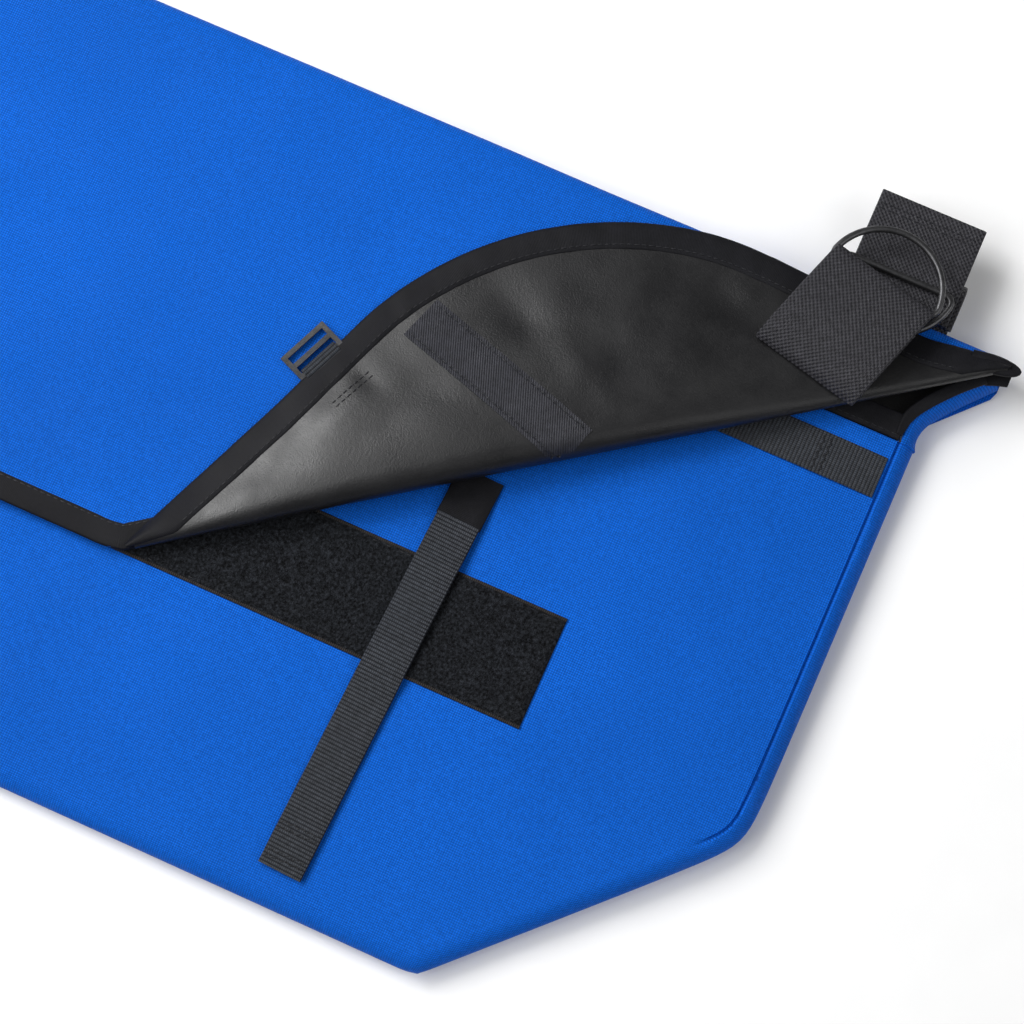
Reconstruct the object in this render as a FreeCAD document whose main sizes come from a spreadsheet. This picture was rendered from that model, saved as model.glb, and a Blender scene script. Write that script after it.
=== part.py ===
"""Messenger bag lying flat, front up, with its right flap corner turned back.

Millimetres. X runs along the bag's width, Y from the bottom fold to the top
fold, +Z up from the surface it lies on. X = 0 is the bag's middle.
"""
import FreeCAD, Part
import math
import os

V = FreeCAD.Vector
doc = FreeCAD.newDocument("messenger_bag")
os.makedirs("parts", exist_ok=True)

# ---------------------------------------------------------------- dimensions
DIMENSIONS = {
    "half_width": 279.0,        # side fold of the gussets
    "half_seam": 270.7,         # front panel's side seam
    "half_tip": 304.0,          # tip of the wings and of the flap
    "half_bottom": 171.0,       # straight part of the bottom fold
    "top_edge": 172.0,
    "bottom_edge": -171.5,
    "corner_top": -65.0,        # where the folded corner leaves the side
    "wing_root": 128.0,
    "side_bulge": 2.0,          # how far the filled gusset bows out of the side
    "fold_round": 8.0,          # soft corners of the folded cloth
    "gusset_strip": 9.0,        # width of the side strip seen from above
    "mouth": 135.5,             # front panel's upper edge
    "binding_width": 12.0,
    "air": 0.3,
    "cloth": 0.9,
    "vinyl": 0.6,
    "webbing": 1.6,
    "tape": 1.2,
    "pile": 1.8,
    "hook": 1.0,
    "bound": 1.8,               # binding round both layers
    "wide_webbing": 50.0,
    "narrow_webbing": 20.0,
    "back_z": 2.0,
    "back_liner_z": 3.2,
    "gusset_high": 10.8,
    "front_liner_z": 13.4,
    "front_z": 14.3,
    "trim_z": 15.5,
    "strap_z": 17.6,
    "hook_z": 18.0,
    "tape_low": 95.5,
    "tape_high": 19.0,
    "tape_start": 170.0,        # X where the side tape comes out of the seam
    "tab_length": 17.0,
    "hook_x": 147.0,
    "hook_low": -44.0,
    "hook_length": 112.0,
    "flap_liner_z": 19.3,
    "flap_z": 20.2,
    "flap_bottom": -58.0,
    "flap_round": 110.0,
    "flap_lean": 0.257,         # how far the flap's side runs in for each mm down
    "fold_start": -15.0,        # X where the fold meets the flap's lower edge
    "fold_axis_z": 26.4,
    "roll": 7.1,                # radius of the soft roll along the fold
    "corner_round": 160.0,
    "corner_drop": 5.5,         # degrees the turned corner slopes down
    "free_length": 280.0,       # fold length that is free to turn
    "tip_z": 21.5,
    "tip_liner_z": 22.7,
    "hinge_y": 168.0,
    "hinge_z": 11.55,
    "loop_half": 171.5,
    "loop_low": -57.0,
    "strap_x": 110.0,
    "strap_top": 14.0,
    "strap_end": -153.0,
    "left_crease": -76.0,
    "slider_long": 24.4,
    "slider_deep": 13.5,
    "slider_bar": 2.2,
    "slider_thick": 1.2,
    "ring_wire": 1.5,
    "ring_radius": 26.0,
    "ring_corner": 4.0,
    "inner_ring_z": 25.6,
    "outer_ring_z": 33.8,
    "loop_length": 50.0,
    "loop_wide": 44.0,
    "loop_high": 8.0,
    "loop_back": 4.8,           # from the ring's bar to the loop's closed end
    "anchor_z": 19.6,
    "anchor_length": 15.0,
    "anchor_fold": 9.8,         # radius of the webbing's turn behind the top edge
    "tail_width": 47.5,
    "tail_start": 176.0,
    "left_strap_end_y": 160.0,
    "strap_x_low": 223.0,
    "strap_cross": -40.0,
    "anchor_y": 200.0,
    "tail_end": 219.0,
    "tail_z": 21.9,
}

sheet = doc.addObject("Spreadsheet::Sheet", "dims")
for row, (alias, number) in enumerate(DIMENSIONS.items(), start=1):
    sheet.set("A%d" % row, alias)
    sheet.set("B%d" % row, str(number))
    sheet.setAlias("B%d" % row, alias)
doc.recompute()


def dim(alias):
    return float(getattr(sheet, alias))


CLEAR = dim("air")
TOP = dim("top_edge")
BAND = dim("binding_width")
MOUTH_LOW = dim("mouth") - BAND - CLEAR
SUBPARTS = []


# ------------------------------------------------------------------- helpers
def keep(obj, label):
    """Take an object as one of the bag's sub-parts."""
    obj.Label = label
    SUBPARTS.append(obj)
    return obj


def bind(obj, **expressions):
    """Tie properties to cells: Length='webbing' reads dims.webbing."""
    for name, expression in expressions.items():
        obj.setExpression(name.replace("__", "."), expression)
    return obj


def box(label, size, corner, turn=None):
    """A Part::Box from three expressions, its corner from three more."""
    obj = doc.addObject("Part::Box", label)
    bind(obj, Length=size[0], Width=size[1], Height=size[2])
    if turn is None:
        bind(obj, Placement__Base__x=corner[0], Placement__Base__y=corner[1])
        bind(obj, Placement__Base__z=corner[2])
    else:
        obj.Placement = turn
    return obj


def rounded(corners):
    """Lines and arcs of a closed outline of (x, y) or (x, y, radius) corners."""
    points = [V(c[0], c[1], 0) for c in corners]
    starts, ends, arcs = [], [], []
    for i, corner in enumerate(corners):
        here = points[i]
        back = (points[i - 1] - here).normalize()
        on = (points[(i + 1) % len(points)] - here).normalize()
        radius = corner[2] if len(corner) > 2 else 0
        if not radius:
            starts.append(here)
            ends.append(here)
            continue
        half = back.getAngle(on) / 2
        reach = radius / math.tan(half)
        a, b = here + back * reach, here + on * reach
        middle = here + (back + on).normalize() * (radius / math.sin(half) - radius)
        arcs.append(Part.Arc(a, middle, b))
        starts.append(a)
        ends.append(b)
    lines = []
    for i, end in enumerate(ends):
        start = starts[(i + 1) % len(starts)]
        if (start - end).Length > 1e-6:
            lines.append(Part.LineSegment(end, start))
    return lines + arcs


def inset(corners, distances):
    """Move each side of a clockwise or anticlockwise outline inwards."""
    count = len(corners)
    area = 0
    for i, (x0, y0, *_) in enumerate(corners):
        x1, y1 = corners[(i + 1) % count][:2]
        area += x0 * y1 - x1 * y0
    inward = 1 if area > 0 else -1
    sides = []
    for i in range(count):
        a = V(corners[i][0], corners[i][1], 0)
        b = V(corners[(i + 1) % count][0], corners[(i + 1) % count][1], 0)
        along = (b - a).normalize()
        normal = V(-along.y, along.x, 0) * inward
        sides.append((a + normal * distances[i], along))
    moved = []
    for i, corner in enumerate(corners):
        (p, d), (q, e) = sides[i - 1], sides[i]
        cross = d.x * e.y - d.y * e.x
        reach = ((q.x - p.x) * e.y - (q.y - p.y) * e.x) / cross
        point = p + d * reach
        radius = corner[2] - distances[i] if len(corner) > 2 else 0
        moved.append((point.x, point.y, radius))
    return moved


def plate(label, corners, z, thick):
    """A PartDesign body: an outline sketched flat and padded to a thickness."""
    body = doc.addObject("PartDesign::Body", label)
    sketch = body.newObject("Sketcher::SketchObject", label + "_outline")
    for feature in body.Origin.OriginFeatures:
        if feature.Role == "XY_Plane":
            sketch.AttachmentSupport = [(feature, "")]
    sketch.MapMode = "FlatFace"
    sketch.addGeometry(rounded(corners), False)
    sketch.Visibility = False
    pad = body.newObject("PartDesign::Pad", label + "_pad")
    pad.Profile = sketch
    bind(pad, Length=thick)
    bind(body, Placement__Base__z=z)
    return body


def cut(label, base, tool):
    obj = doc.addObject("Part::Cut", label)
    obj.Base, obj.Tool = base, tool
    return obj


def common(label, base, tool):
    obj = doc.addObject("Part::Common", label)
    obj.Base, obj.Tool = base, tool
    return obj


def compound(label, links):
    obj = doc.addObject("Part::Compound", label)
    obj.Links = links
    return obj


def mirrored(corners, side):
    return [(side * c[0],) + tuple(c[1:]) for c in corners]


# ------------------------------------------------------------------ bag body
def both_sides(right):
    """A symmetrical outline from its right half, top to bottom."""
    return right + [(-c[0],) + tuple(c[1:]) for c in reversed(right)]


def make_panels():
    width, tip = dim("half_width"), dim("half_tip")
    fold = dim("hinge_y") - CLEAR
    low, corner = dim("bottom_edge"), dim("corner_top")
    soft, strip = dim("fold_round"), dim("gusset_strip")
    side = width - dim("side_bulge")
    back = both_sides([
        (tip, fold),
        (tip, fold - soft),
        (side, dim("wing_root"), 2 * soft),
        (side, corner, soft),
        (dim("half_bottom"), low, soft),
    ])
    keep(plate("back_panel", back, "dims.back_z", "dims.cloth"), "back_panel")
    seam = dim("half_seam")
    front = both_sides([
        (seam, MOUTH_LOW),
        (seam, corner - strip / 2, soft),
        (dim("half_bottom") - 2, low + CLEAR, soft),
    ])
    keep(plate("front_panel", front, "dims.front_z", "dims.cloth"), "front_panel")
    inside = seam - strip - CLEAR
    lining = both_sides([
        (inside, MOUTH_LOW),
        (inside, corner, soft),
        (dim("half_bottom") - 1.5 * strip, low + 1.5 * strip, soft),
    ])
    keep(plate("front_liner", lining, "dims.front_liner_z", "dims.vinyl"), "front_liner")
    lining_back = [(x, fold if y == MOUTH_LOW else y, *r) for x, y, *r in lining]
    keep(plate("back_liner", lining_back, "dims.back_liner_z", "dims.vinyl"), "back_liner")


def make_gussets():
    """Folded side strips, each turning in along the boxed lower corner."""
    outer, bulge = dim("half_width"), dim("side_bulge")
    strip, soft = dim("gusset_strip"), dim("fold_round")
    inner = dim("half_seam") - strip
    corner, low = dim("corner_top"), dim("bottom_edge")
    bottom = dim("half_bottom")
    side = [
        (outer, MOUTH_LOW),
        (outer + bulge, (MOUTH_LOW + corner) / 2, 100 * strip),
        (outer - bulge / 2, corner, soft),
        (bottom, low),
        (bottom - strip, low + strip),
        (inner, corner - strip / 2, soft),
        (inner, MOUTH_LOW),
    ]
    for name, sign in (("right", 1), ("left", -1)):
        gusset = plate("side_gusset_" + name, mirrored(side, sign),
                       "dims.back_liner_z", "dims.gusset_high")
        keep(gusset, "side_gusset_" + name)
    end = bottom - strip - CLEAR
    base = [(-end, low), (end, low), (end, low + strip), (-end, low + strip)]
    keep(plate("bottom_gusset", base, "dims.back_liner_z", "dims.gusset_high"),
         "bottom_gusset")


def make_bag_trim():
    keep(box("mouth_binding",
             ("2 * dims.half_seam", "dims.binding_width", "dims.bound + 0.1"),
             ("-dims.half_seam", "dims.mouth - dims.binding_width", "dims.front_liner_z")),
         "mouth_binding")
    keep(box("loop_strip",
             ("2 * dims.loop_half", "dims.wide_webbing", "dims.pile"),
             ("-dims.loop_half", "dims.loop_low", "dims.trim_z")), "loop_strip")
    root, tip, seam = dim("wing_root"), dim("half_tip"), dim("half_seam") + CLEAR
    wing = [
        (tip - 1, root + 32), (seam + 6, root + 2), (seam + 3, root - BAND),
        (seam, root - BAND), (seam, root + 9), (tip - 8, root + 38),
    ]
    for name, side in (("right", 1), ("left", -1)):
        keep(plate("wing_binding_" + name, mirrored(wing, side), "dims.front_z", "dims.bound"),
             "wing_binding_" + name)
        low_x = "dims.tape_start" if side > 0 else "-dims.half_seam"
        keep(box("side_tape_" + name,
                 ("dims.half_seam - dims.tape_start", "dims.tape_high", "dims.tape"),
                 (low_x, "dims.tape_low", "dims.trim_z")), "side_tape_" + name)
        middle = "%d * dims.strap_x - dims.narrow_webbing / 2" % side
        keep(box("closure_tab_" + name,
                 ("dims.narrow_webbing", "dims.tab_length", "dims.tape"),
                 (middle, "dims.strap_top + 1", "dims.trim_z")), "closure_tab_" + name)
    fold = cut("top_fold",
               box("top_fold_outside",
                   ("2 * dims.half_tip", "5", "dims.flap_z + dims.cloth - dims.back_z"),
                   ("-dims.half_tip", "dims.hinge_y", "dims.back_z")),
               box("top_fold_inside",
                   ("2 * dims.half_tip + 2", "4", "dims.flap_liner_z - dims.back_z - 2.7"),
                   ("-dims.half_tip - 1", "dims.hinge_y - 1", "dims.back_z + dims.bound + 0.9")))
    keep(fold, "top_fold")


def make_closure_straps():
    half = "%d * dims.strap_x - dims.narrow_webbing / 2"
    keep(box("closure_strap_right",
             ("dims.narrow_webbing", "dims.strap_top - dims.strap_end", "dims.tape"),
             (half % 1, "dims.strap_end", "dims.strap_z")), "closure_strap_right")
    keep(box("closure_strap_left",
             ("dims.narrow_webbing", "dims.strap_top - dims.left_crease - dims.air",
              "dims.tape"),
             (half % -1, "dims.left_crease + dims.air", "dims.strap_z")),
         "closure_strap_left")
    keep(box("closure_strap_left_end",
             ("dims.narrow_webbing", "dims.left_crease - dims.strap_end", "dims.tape"),
             (half % -1, "dims.strap_end", "dims.strap_z")), "closure_strap_left_end")


# ---------------------------------------------------------------------- flap
FOLD_A = V(dim("fold_start"), dim("flap_bottom"), 0)
FOLD_B = V(dim("half_tip"), TOP - 1, 0)
FOLD_ANGLE = math.degrees(math.atan2(FOLD_B.y - FOLD_A.y, FOLD_B.x - FOLD_A.x))
FOLD_LENGTH = (FOLD_B - FOLD_A).Length
ALONG = (FOLD_B - FOLD_A).normalize()
ACROSS = V(-ALONG.y, ALONG.x, 0)
APEX = (214.5, 133.0)           # where the turned corner's two straight edges meet


def on_fold(u, v, z=0):
    """A point u along the fold and v to the turned-back side of it."""
    return FOLD_A + ALONG * u + ACROSS * v + V(0, 0, z)


def fold_placement(v, z, drop=0):
    turn = FreeCAD.Rotation(V(0, 0, 1), FOLD_ANGLE)
    lean = FreeCAD.Rotation(V(1, 0, 0), -drop)
    return FreeCAD.Placement(on_fold(0, v, z), turn.multiply(lean))


def flap_outline():
    """The flat part of the flap, left of the fold, anticlockwise from its tip."""
    tip, low = dim("half_tip"), dim("flap_bottom")
    foot = tip - dim("flap_lean") * (dim("hinge_y") - CLEAR - low)
    edge = dim("roll") + CLEAR
    start = on_fold(0, edge)
    slope = ALONG.y / ALONG.x
    at_low = start.x + (low - start.y) / slope
    fold_top = dim("hinge_y") - CLEAR
    at_top = start.x + (fold_top - start.y) / slope
    return [(-tip, fold_top), (-foot, low, dim("flap_round")), (at_low, low), (at_top, fold_top)]


def corner_outline(v_low):
    """The turned-back corner in (u, v), from the fold out to its bound edges."""
    left = v_low * APEX[0] / APEX[1]
    right = FOLD_LENGTH - v_low * (FOLD_LENGTH - APEX[0]) / APEX[1]
    return [(left, 0), (right, 0), (APEX[0], APEX[1] - v_low, dim("corner_round"))]


def layers(name, outline, bound_sides, z_shell, z_liner, z_bound, clip, place):
    """Shell, liner and edge binding of one stretch of the flap."""
    made = {}
    inner = inset(outline, [BAND + CLEAR if b else 0 for b in bound_sides])
    through = inset(outline, [BAND if b else -5 for b in bound_sides])
    shapes = {
        "shell": plate(name + "_shell_flat", inner, z_shell, "dims.cloth"),
        "liner": plate(name + "_liner_flat", inner, z_liner, "dims.vinyl"),
        "binding": cut(name + "_band",
                       plate(name + "_band_outside", outline, z_bound, "dims.bound"),
                       plate(name + "_band_inside", through, z_bound, "dims.bound")),
    }
    for layer, shape in shapes.items():
        if clip is not None:
            low, high = clip
            slab = doc.addObject("Part::Box", "%s_%s_clip" % (name, layer))
            slab.Length = high - low
            slab.Width, slab.Height = 300, 100
            slab.Placement.Base = V(low, -50, -50)
            shape = common("%s_%s_part" % (name, layer), shape, slab)
        if place is not None:
            shape.Placement = place
        made[layer] = shape
    return made


def make_flap():
    drop, axis = dim("corner_drop"), dim("fold_axis_z")
    roll, free = dim("roll"), dim("free_length")
    flat = layers("flap", flap_outline(), (1, 1, 0, 0), "dims.flap_z",
                  "dims.flap_liner_z", "dims.flap_liner_z", None, None)
    tip = layers("tip", corner_outline(1.0), (0, 1, 1), "0 * dims.cloth",
                 "dims.tip_liner_z - dims.tip_z", "0 * dims.cloth",
                 (free + CLEAR, FOLD_LENGTH), fold_placement(1.0, dim("tip_z")))
    for layer in ("shell", "liner", "binding"):
        keep(compound("flap_" + layer, [flat[layer], tip[layer]]), "flap_" + layer)
    above = "dims.fold_axis_z - dims.flap_z - dims.cloth"
    corner = layers("corner", corner_outline(roll), (0, 1, 1), above,
                    above + " + dims.cloth + dims.air", above, (0, free),
                    fold_placement(roll, axis, drop))
    for layer in ("shell", "liner", "binding"):
        keep(corner[layer], "corner_" + layer)
    left_hook = box("hook_strip_left",
                    ("dims.narrow_webbing", "dims.hook_length", "dims.hook"),
                    ("-dims.hook_x - dims.narrow_webbing / 2", "dims.hook_low", "dims.hook_z"))
    keep(left_hook, "hook_strip_left")
    hook_low, hook_high = V(196, 7 - roll, 0), V(146, 68, 0)
    strip = hook_high - hook_low
    turn = FreeCAD.Rotation(V(0, 0, 1), math.degrees(math.atan2(strip.y, strip.x)))
    level = axis - dim("hook_z") - dim("hook")
    place = FreeCAD.Placement(hook_low + V(0, 0, level), turn)
    side = turn.multVec(V(0, -dim("narrow_webbing") / 2, 0))
    place.Base = place.Base + side + turn.multVec(V(8, 0, 0))
    right_hook = doc.addObject("Part::Box", "hook_strip_right")
    bind(right_hook, Width="dims.narrow_webbing", Height="dims.hook")
    right_hook.Length = strip.Length - 8
    right_hook.Placement = fold_placement(roll, axis, drop).multiply(place)
    keep(right_hook, "hook_strip_right")


def make_roll():
    """The soft roll along the fold: half a tube."""
    length = dim("free_length") - 12
    halves = []
    for name, radius in (("outside", "dims.roll"), ("inside", "dims.roll - dims.bound")):
        half = doc.addObject("Part::Cylinder", "roll_" + name)
        bind(half, Radius=radius)
        half.Height = length
        half.Angle = 180
        halves.append(half)
    roll = cut("corner_roll", *halves)
    lying = FreeCAD.Rotation(V(0, 1, 0), 90)
    outwards = FreeCAD.Rotation(V(0, 0, 1), 180)
    place = fold_placement(dim("roll"), dim("fold_axis_z"))
    start = FreeCAD.Placement(V(12, 0, 0), lying.multiply(outwards))
    roll.Placement = place.multiply(start)
    keep(roll, "corner_roll")


# ------------------------------------------------------------------- sliders
def make_slider(name, origin, angle):
    """Flat two-slot slider; its own +Y points away from the flap's edge."""
    long, deep, bar = dim("slider_long"), dim("slider_deep"), dim("slider_bar")
    thick = dim("slider_thick")
    place = FreeCAD.Placement(origin, FreeCAD.Rotation(V(0, 0, 1), angle))
    rim = doc.addObject("Part::Box", "slider_rim_" + name)
    bind(rim, Length="dims.slider_long", Width="dims.slider_deep")
    bind(rim, Height="dims.slider_thick")
    rim.Placement.Base = V(-long / 2, 1, 0)
    slots = []
    slot = (deep - 3 * bar) / 2
    for i in range(2):
        hole = doc.addObject("Part::Box", "slider_slot_%s_%d" % (name, i))
        hole.Length, hole.Width, hole.Height = long - 2 * bar, slot, thick * 3
        hole.Placement.Base = V(bar - long / 2, 1 + bar + i * (slot + bar), -thick)
        slots.append(hole)
    slider = cut("slider_" + name, rim, compound("slider_slots_" + name, slots))
    slider.Placement = place
    keep(slider, "slider_" + name)
    wide, skin = long - 2 * bar - 0.8, 0.7
    gap = 0.2
    outer = doc.addObject("Part::Box", "tab_outer_" + name)
    outer.Length, outer.Width = wide, bar + 2 * (skin + gap)
    outer.Height = thick + 2 * (skin + gap)
    outer.Placement.Base = V(-wide / 2, 1 - gap - skin, -gap - skin)
    hollow = doc.addObject("Part::Box", "tab_hollow_" + name)
    hollow.Length, hollow.Width = wide + 2, bar + 2 * gap
    hollow.Height = thick + 2 * gap
    hollow.Placement.Base = V(-wide / 2 - 1, 1 - gap, -gap)
    tab = cut("slider_tab_" + name, outer, hollow)
    tab.Placement = place
    keep(tab, "slider_tab_" + name)


def make_sliders():
    at = on_fold(101.2, 62.7, 22.6)
    make_slider("right", at, FOLD_ANGLE + math.degrees(math.atan2(APEX[1], APEX[0])))
    lift = dim("strap_z") + dim("tape") + 1.3
    make_slider("left", V(-107, dim("flap_bottom") - 1.4, lift), 180)


# ------------------------------------------------------------ shoulder strap
def d_ring(label, middle, angle, toward):
    """Round wire bent to a D; toward is +1 or -1, the side its bow is on."""
    radius, turn = dim("ring_radius"), dim("ring_corner")
    reach = math.sqrt((radius - turn) ** 2 - turn ** 2)
    bow = V(reach, turn, 0).normalize() * radius
    bend = V(reach, turn, 0) + V(math.cos(math.radians(-40)), math.sin(math.radians(-40)), 0) * turn

    def other(p):
        return V(-p.x, p.y, p.z)

    bar = Part.LineSegment(V(-reach, 0, 0), V(reach, 0, 0))
    right = Part.Arc(V(reach, 0, 0), bend, bow)
    arch = Part.Arc(bow, V(0, radius, 0), other(bow))
    left = Part.Arc(other(bow), other(bend), V(-reach, 0, 0))
    path = Part.Wire([e.toShape() for e in (bar, right, arch, left)])
    section = Part.Wire([Part.makeCircle(dim("ring_wire"), V(0, 0, 0), V(1, 0, 0))])
    ring = doc.addObject("Part::Feature", label)
    ring.Shape = path.makePipeShell([section], True, False)
    turned = angle if toward > 0 else angle + 180
    ring.Placement = FreeCAD.Placement(middle, FreeCAD.Rotation(V(0, 0, 1), turned))
    return keep(ring, label)


OUTER_BAR = V(237.6, 178.3, dim("outer_ring_z"))
INNER_BAR = V(242.5, 189.0, dim("inner_ring_z"))


def make_strap():
    """Wide webbing under the bag, its anchor, its two rings and its keeper loop."""
    x, wide = dim("strap_x_low"), dim("wide_webbing")
    cross, end = dim("strap_cross"), dim("anchor_y") - dim("anchor_fold")
    left_end = dim("left_strap_end_y")
    route = [
        (x, end), (x + wide, end), (x + wide, cross, 4), (-x - wide, cross, 4),
        (-x - wide, left_end), (-x, left_end), (-x, cross + wide), (x, cross + wide),
    ]
    keep(plate("shoulder_strap", route, "0 * dims.cloth", "dims.webbing"), "shoulder_strap")
    halves = []
    turns = (("outside", "dims.anchor_fold"), ("inside", "dims.anchor_fold - dims.webbing"))
    for name, radius in turns:
        half = doc.addObject("Part::Cylinder", "anchor_" + name)
        bind(half, Radius=radius, Height="dims.wide_webbing")
        half.Angle = 180
        halves.append(half)
    fold = cut("strap_anchor_fold", *halves)
    lying = FreeCAD.Rotation(V(0, 1, 0), 90)
    fold.Placement = FreeCAD.Placement(V(x, end + CLEAR, dim("anchor_fold")), lying)
    keep(fold, "strap_anchor_fold")
    keep(box("strap_anchor", ("dims.wide_webbing", "dims.anchor_length", "dims.webbing"),
             ("dims.strap_x_low", "dims.tail_start", "dims.anchor_z")), "strap_anchor")
    keep(box("strap_tail",
             ("dims.tail_width", "dims.tail_end - dims.tail_start", "dims.webbing"),
             ("dims.strap_x_low", "dims.tail_start", "dims.tail_z")), "strap_tail")
    d_ring("d_ring_inner", INNER_BAR, 0, -1)
    d_ring("d_ring_outer", OUTER_BAR, -8.7, 1)
    wide, high = dim("loop_wide"), dim("loop_high")
    outside = doc.addObject("Part::Box", "loop_outside")
    bind(outside, Length="dims.loop_wide", Width="dims.loop_length", Height="dims.loop_high")
    low = dim("loop_back") - dim("loop_length")
    outside.Placement.Base = V(-wide / 2, low, -high / 2)
    skin = dim("webbing")
    inside = doc.addObject("Part::Box", "loop_inside")
    inside.Length = wide + 2
    inside.Width = dim("loop_length") - 2 * skin
    inside.Height = high - 2 * skin
    inside.Placement.Base = V(-wide / 2 - 1, low + skin, skin - high / 2)
    loop = cut("strap_loop", outside, inside)
    loop.Placement = FreeCAD.Placement(OUTER_BAR, FreeCAD.Rotation(V(0, 0, 1), -8.7))
    keep(loop, "strap_loop")


# --------------------------------------------------------------------- build
def write_parts():
    doc.recompute()
    for obj in doc.Objects:
        if "Invalid" in obj.State or "Error" in obj.State:
            raise RuntimeError("%s failed: %s" % (obj.Label, obj.State))
    for obj in SUBPARTS:
        if obj.Shape.isNull() or not obj.Shape.isValid():
            raise RuntimeError("%s has no valid shape" % obj.Label)
        obj.Shape.exportStep("parts/%s.step" % obj.Label)
    print("%d sub-parts written" % len(SUBPARTS))


make_panels()
make_gussets()
make_bag_trim()
make_closure_straps()
make_flap()
make_roll()
make_sliders()
make_strap()
write_parts()
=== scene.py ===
"""Messenger bag lying flat, front up, with its right flap corner turned back.

Shapes are worked out in millimetres and made in metres. X runs along the bag's
width, Y from its bottom fold to its top fold, and Z up from the surface it
lies on. (u, v) are measured along and across the flap's diagonal fold.
"""
import bpy
import math
import numpy as np
from mathutils import Matrix, Vector, noise


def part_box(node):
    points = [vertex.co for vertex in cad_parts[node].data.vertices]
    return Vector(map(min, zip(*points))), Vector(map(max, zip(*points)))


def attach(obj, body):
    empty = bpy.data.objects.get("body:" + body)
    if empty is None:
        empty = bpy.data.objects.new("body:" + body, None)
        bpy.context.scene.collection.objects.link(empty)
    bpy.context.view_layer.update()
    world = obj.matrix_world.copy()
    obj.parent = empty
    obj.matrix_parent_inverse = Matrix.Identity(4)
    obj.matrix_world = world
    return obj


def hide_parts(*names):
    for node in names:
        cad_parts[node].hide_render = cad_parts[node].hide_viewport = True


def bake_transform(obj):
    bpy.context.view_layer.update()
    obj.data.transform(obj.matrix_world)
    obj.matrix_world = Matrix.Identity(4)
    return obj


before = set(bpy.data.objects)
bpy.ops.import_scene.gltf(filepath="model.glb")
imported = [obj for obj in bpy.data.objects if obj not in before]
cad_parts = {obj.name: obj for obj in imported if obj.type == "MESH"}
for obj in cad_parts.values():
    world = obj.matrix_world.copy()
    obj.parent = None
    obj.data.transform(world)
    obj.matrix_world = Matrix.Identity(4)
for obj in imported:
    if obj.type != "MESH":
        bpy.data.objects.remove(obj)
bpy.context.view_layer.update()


def node_box(name):
    """A CAD node's lowest and highest corners, in millimetres."""
    low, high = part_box(name)
    return np.array(low) * 1000, np.array(high) * 1000


# ---------------------------------------------------------------- dimensions
CLOTH = 0.9                  # thicknesses of the sheets and tapes
VINYL = 0.6
TAPE = 1.2
WEBBING = 1.6
BOUND = 2.0                  # the binding round an edge
BAND = 12.0                  # and its width
SHARP = math.radians(55)
X_AXIS = np.array((1.0, 0.0, 0.0))
Y_AXIS = np.array((0.0, 1.0, 0.0))
UP = np.array((0.0, 0.0, 1.0))

TIP = node_box("top_fold")[1][0]
TOP = node_box("top_fold")[1][1]
BOTTOM = node_box("back_panel")[0][1]
HINGE_Y = node_box("top_fold")[0][1]
SEAM = node_box("mouth_binding")[1][0]
MOUTH_LOW, MOUTH_HIGH = node_box("mouth_binding")[0][1], node_box("mouth_binding")[1][1]
FRONT_TOP = node_box("front_panel")[1][2]
BACK_Z = node_box("back_panel")[0][2]
LOWER_CORNER_Y = -65.0
BOTTOM_HALF = 171.0
EDGE_BAND = 8.5             # how far the rounded edge reaches out of the front

FLAP_LAYERS_Z = 20.05       # between the flap's liner and its shell
FLAP_BOTTOM = node_box("flap_binding")[0][1]
FLAP_ROUND = 110.0
FLAP_LEAN = 0.257
TOP_FULLNESS = 3.2          # how far the top fold's cloth stands past the plain fold

FOLD_A = np.array((-15.0, FLAP_BOTTOM, 0.0))
FOLD_B = np.array((TIP, 171.0, 0.0))
FOLD_LENGTH = float(np.linalg.norm(FOLD_B - FOLD_A))
ALONG = (FOLD_B - FOLD_A) / FOLD_LENGTH
ACROSS = np.array((-ALONG[1], ALONG[0], 0.0))
UNDER = 3.0                 # where the roll leaves the flat flap
ARC_CENTRE, ARC_RADIUS = (205.9, -60.6), 160.0
LEFT_SLOPE, RIGHT_SLOPE = 0.62, 0.746
SPLIT = 199.0               # u where the corner's two parts meet, at the fold
SPLIT_SLANT = 0.73          # and how far that line leans, under the hook strip
ROLL_LIFT = 1.2
LOWER_TURN = np.linspace(-math.pi / 2, 0, 9)[:-1]
UPPER_TURN = np.linspace(0, math.pi / 2, 12)[:-1]
OUTWARD = np.linspace(0, 1, 44)
ROLL_ALONG = (0, 25, 60, 100, 150, 200, 240, 270, 300, 340, 393)
ROLL_HEIGHT = (1.2, 4.2, 8.5, 12.0, 13.6, 13.2, 11.4, 8.8, 6.2, 4.6, 3.2)
TURNED_EDGE_Z = 22.5

HOOK_FOOT, HOOK_HEAD = np.array((199.0, 1.5)), np.array((146.0, 74.0))
HOOK_WIDTH = 21.5


# ------------------------------------------------------------------- helpers
def smooth(x):
    x = np.clip(x, 0, 1)
    return x * x * (3 - 2 * x)


def unit(rows):
    return rows / np.linalg.norm(rows, axis=1, keepdims=True)


def ripple(x, y, size, height, seed):
    """Soft uneven height over a surface, always the same for the same seed."""
    flat = [noise.noise(Vector((a / size + seed, b / size, seed)))
            for a, b in zip(np.ravel(x), np.ravel(y))]
    return np.reshape(flat, np.shape(x)) * height


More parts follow.
